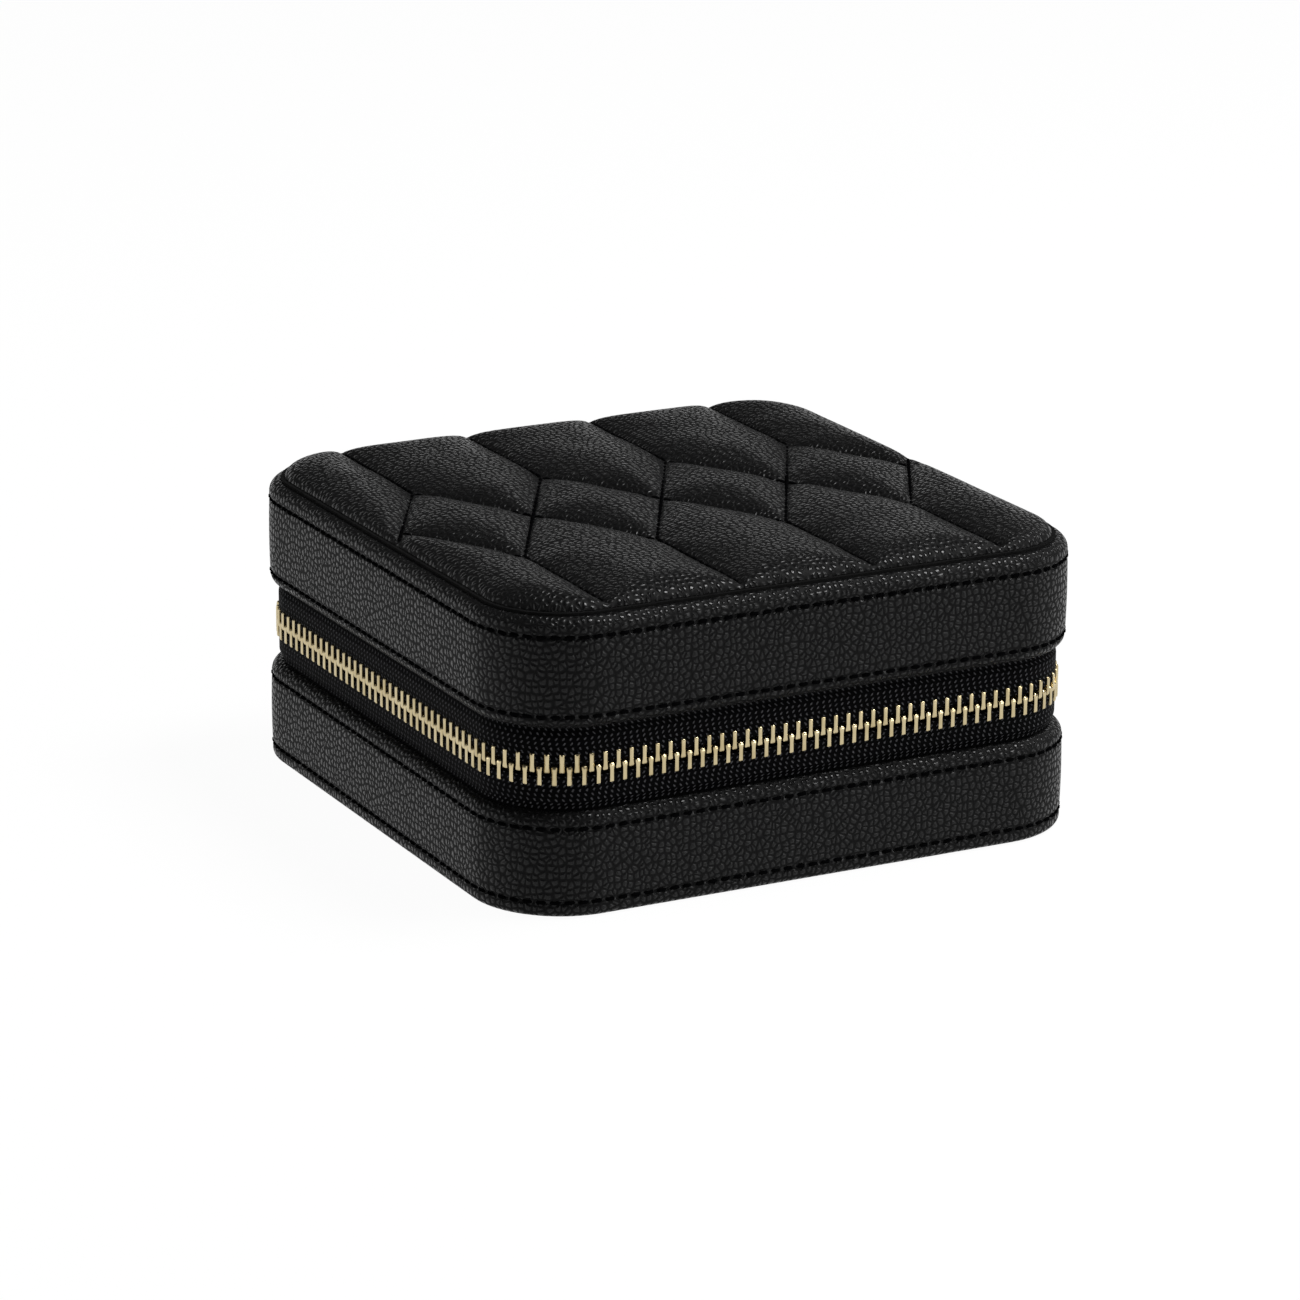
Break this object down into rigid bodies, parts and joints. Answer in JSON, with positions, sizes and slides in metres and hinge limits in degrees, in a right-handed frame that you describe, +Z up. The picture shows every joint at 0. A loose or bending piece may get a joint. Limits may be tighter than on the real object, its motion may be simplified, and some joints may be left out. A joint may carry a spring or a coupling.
{
  "type": "zip-round jewellery case",
  "caption": "Square leather jewellery case with a quilted, back-hinged lid, a metal zip round three sides, ring rolls, compartments and a mirror.",
  "frame": {"origin": "centre of the underside, on the surface that the case stands on", "axes": "+Z up, front of the case towards -Y, hinge at the back towards +Y, zip sliders on the +X side"},
  "size_m": [0.118, 0.115, 0.0574],
  "materials": {
    "case_leather": "pebbled, semi-matt",
    "quilted_leather": "pebbled, semi-matt, quilted over foam",
    "card": "matt black-dyed board",
    "lining": "short-pile velour",
    "padding": "foam",
    "zip_tape": "herringbone tape",
    "zip_metal": "pale gold, polished",
    "slider_metal": "pale gold, polished",
    "mirror": "silvered glass"
  },
  "bodies": {
    "base": {"base_leather_wall": "case_leather", "base_leather_bottom": "case_leather", "base_wall_card": "card", "base_board": "card", "base_wall_lining": "lining", "base_floor_pad": "lining", "inner_wall": "lining", "cross_wall": "lining", "dividers": "lining", "ring_rolls": "lining", "lower_zip_tape": "zip_tape", "lower_teeth_run": "zip_metal", "lower_teeth_slider_side": "zip_metal", "lower_teeth_hinge_ends": "zip_metal", "zip_bottom_stops": "zip_metal", "hinge_leather": "case_leather"},
    "lid": {"lid_leather_wall": "case_leather", "lid_wall_card": "card", "lid_board": "card", "quilt_foam": "padding", "quilted_leather_top": "quilted_leather", "lid_wall_lining": "lining", "lid_ceiling_pad": "lining", "mirror_glass": "mirror", "mirror_frame": "lining", "upper_zip_tape": "zip_tape", "upper_teeth_run": "zip_metal", "upper_teeth_slider_side": "zip_metal", "upper_teeth_hinge_ends": "zip_metal"},
    "front_zip_slider": {"front_slider": "slider_metal"},
    "back_zip_slider": {"back_slider": "slider_metal"},
    "front_zip_pull": {"front_pull": "slider_metal"},
    "back_zip_pull": {"back_pull": "slider_metal"}
  },
  "joints": [
    {"name": "lid_hinge", "type": "hinge", "parent": "base", "child": "lid", "pos_m": [0, 0.05495, 0.026], "axis": [-1, 0, 0], "range_deg": [0, 115], "deforming": ["hinge_leather", "lower_teeth_hinge_ends", "upper_teeth_hinge_ends", "upper_teeth_slider_side"]},
    {"name": "front_slider_slide", "type": "slide", "parent": "base", "child": "front_zip_slider", "axis": [0, -1, 0], "range_m": [0, 0.029], "deforming": ["lower_teeth_slider_side", "upper_teeth_slider_side"]},
    {"name": "back_slider_slide", "type": "slide", "parent": "base", "child": "back_zip_slider", "axis": [0, 1, 0], "range_m": [0, 0.029], "deforming": ["lower_teeth_slider_side", "upper_teeth_slider_side"]},
    {"name": "front_pull_hinge", "type": "hinge", "parent": "front_zip_slider", "child": "front_zip_pull", "pos_m": [0.0589, -0.0055, 0.026], "axis": [0, 0, 1], "range_deg": [0, 150]},
    {"name": "back_pull_hinge", "type": "hinge", "parent": "back_zip_slider", "child": "back_zip_pull", "pos_m": [0.0589, 0.0055, 0.026], "axis": [0, 0, -1], "range_deg": [0, 150]}
  ]
}
